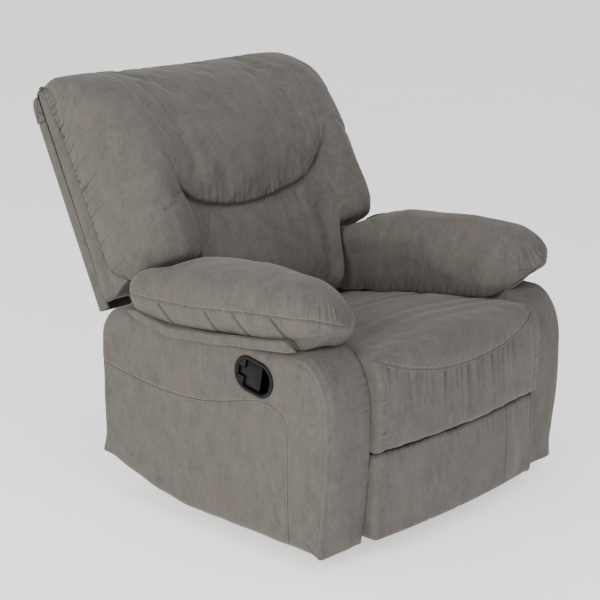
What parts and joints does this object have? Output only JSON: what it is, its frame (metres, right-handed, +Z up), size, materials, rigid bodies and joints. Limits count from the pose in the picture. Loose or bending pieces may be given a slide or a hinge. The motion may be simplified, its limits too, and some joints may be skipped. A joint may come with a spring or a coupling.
{
  "type": "rocker recliner",
  "caption": "Upholstered rocker recliner with pillow arms, a tufted back, a fold-out footrest and a release paddle, on a steel base that stays on the floor.",
  "frame": {"origin": "on the floor, under the middle of the chair's box", "axes": "+Z up, the chair faces -Y, +X is the occupant's left"},
  "size_m": [0.9138, 1.0792, 1.0277],
  "materials": {
    "grey_suede": "mottled suede nap",
    "black_steel": "black powder coat",
    "zinc_steel": "zinc plated",
    "plywood": "bare plywood",
    "black_plastic": "moulded satin",
    "glide_plastic": "moulded"
  },
  "bodies": {
    "base": {"base_frame": "black_steel", "floor_glide_front_left": "glide_plastic", "floor_glide_front_right": "glide_plastic", "floor_glide_rear_left": "glide_plastic", "floor_glide_rear_right": "glide_plastic", "rocker_spring_left": "zinc_steel", "rocker_spring_right": "zinc_steel"},
    "chassis": {"rocker_cam_left": "plywood", "rocker_cam_right": "plywood", "side_plate_left": "zinc_steel", "side_plate_right": "zinc_steel", "arm_frame_left": "plywood", "arm_frame_right": "plywood", "arm_cover_left": "grey_suede", "arm_cover_right": "grey_suede", "arm_pillow_left": "grey_suede", "arm_pillow_right": "grey_suede", "chassis_tube_front": "black_steel", "chassis_tube_rear": "black_steel", "handle_cup": "black_plastic"},
    "release_paddle": {"handle_paddle": "black_plastic"},
    "swing_front": {"swing_link_front_left": "zinc_steel", "swing_link_front_right": "zinc_steel"},
    "swing_rear": {"swing_link_rear_left": "zinc_steel", "swing_link_rear_right": "zinc_steel"},
    "seat": {"seat_rail_left": "zinc_steel", "seat_rail_right": "zinc_steel", "seat_front_rail": "plywood", "seat_rear_rail": "plywood", "seat_spring_1": "zinc_steel", "seat_spring_2": "zinc_steel", "seat_spring_3": "zinc_steel", "seat_cushion": "grey_suede"},
    "back": {"back_bracket_left": "zinc_steel", "back_bracket_right": "zinc_steel", "back_upright_left": "plywood", "back_upright_right": "plywood", "back_bolster_left": "grey_suede", "back_bolster_right": "grey_suede", "back_top_rail": "plywood", "back_lower_rail": "plywood", "back_shell": "grey_suede", "back_top_wrap": "grey_suede", "head_pillow": "grey_suede", "lumbar_pad": "grey_suede"},
    "foot_main": {"foot_main_link_left": "zinc_steel", "foot_main_link_right": "zinc_steel", "foot_torque_tube": "zinc_steel"},
    "foot_guide": {"foot_guide_link_left": "zinc_steel", "foot_guide_link_right": "zinc_steel"},
    "foot_cross": {"foot_cross_link_left": "zinc_steel", "foot_cross_link_right": "zinc_steel"},
    "foot_end": {"foot_end_link_left": "zinc_steel", "foot_end_link_right": "zinc_steel"},
    "footrest": {"foot_bracket_left": "zinc_steel", "foot_bracket_right": "zinc_steel", "foot_board": "plywood", "foot_pad": "grey_suede"}
  },
  "joints": [
    {"name": "rock", "type": "hinge", "parent": "base", "child": "chassis", "pos_m": [0, -0.06509, 0.4106], "axis": [-1, 0, 0], "range_deg": [-5, 9], "stiffness_Nm_per_rad": 700, "springref_deg": -2.46, "deforming": ["rocker_spring_left", "rocker_spring_right"]},
    {"name": "paddle", "type": "hinge", "parent": "chassis", "child": "release_paddle", "pos_m": [-0.4388, -0.25353, 0.42658], "axis": [0, 0.1908, -0.9816], "range_deg": [0, 30], "stiffness_Nm_per_rad": 0.5, "springref_deg": -11.46},
    {"name": "recline", "type": "hinge", "parent": "seat", "child": "back", "pos_m": [0, 0.14991, 0.32238], "axis": [-1, 0, 0], "range_deg": [0, 38]},
    {"name": "swing_front", "type": "hinge", "parent": "chassis", "child": "swing_front", "pos_m": [0, -0.24509, 0.205], "axis": [1, 0, 0], "range_deg": [0, 24]},
    {"name": "seat_level", "type": "hinge", "parent": "swing_front", "child": "seat", "pos_m": [0, -0.22014, 0.32238], "axis": [1, 0, 0], "range_deg": [-24, 0]},
    {"name": "swing_rear", "type": "hinge", "parent": "chassis", "child": "swing_rear", "pos_m": [0, 0.05491, 0.205], "axis": [1, 0, 0], "range_deg": [0, 24]},
    {"name": "footrest", "type": "hinge", "parent": "seat", "child": "foot_main", "pos_m": [0, -0.33509, 0.31], "axis": [-1, 0, 0], "range_deg": [0, 88]},
    {"name": "foot_guide", "type": "hinge", "parent": "seat", "child": "foot_guide", "pos_m": [0, -0.28975, 0.28891], "axis": [-1, 0, 0], "range_deg": [0, 88]},
    {"name": "foot_cross", "type": "hinge", "parent": "foot_main", "child": "foot_cross", "pos_m": [0, -0.18364, 0.11615], "axis": [-1, 0, 0], "range_deg": [-88, 0]},
    {"name": "foot_end", "type": "hinge", "parent": "foot_main", "child": "foot_end", "pos_m": [0, -0.20211, 0.13979], "axis": [-1, 0, 0], "range_deg": [-88, 0]},
    {"name": "foot_pad_turn", "type": "hinge", "parent": "foot_end", "child": "footrest", "pos_m": [0, -0.41711, 0.23979], "axis": [-1, 0, 0], "range_deg": [0, 88]}
  ],
  "couplings": [
    {"joint": "swing_front", "follows": "recline", "ratio": 0.63158},
    {"joint": "seat_level", "follows": "recline", "ratio": -0.63158},
    {"joint": "swing_rear", "follows": "recline", "ratio": 0.63158},
    {"joint": "foot_guide", "follows": "footrest", "ratio": 1},
    {"joint": "foot_cross", "follows": "footrest", "ratio": -1},
    {"joint": "foot_end", "follows": "footrest", "ratio": -1},
    {"joint": "foot_pad_turn", "follows": "footrest", "ratio": 1}
  ]
}
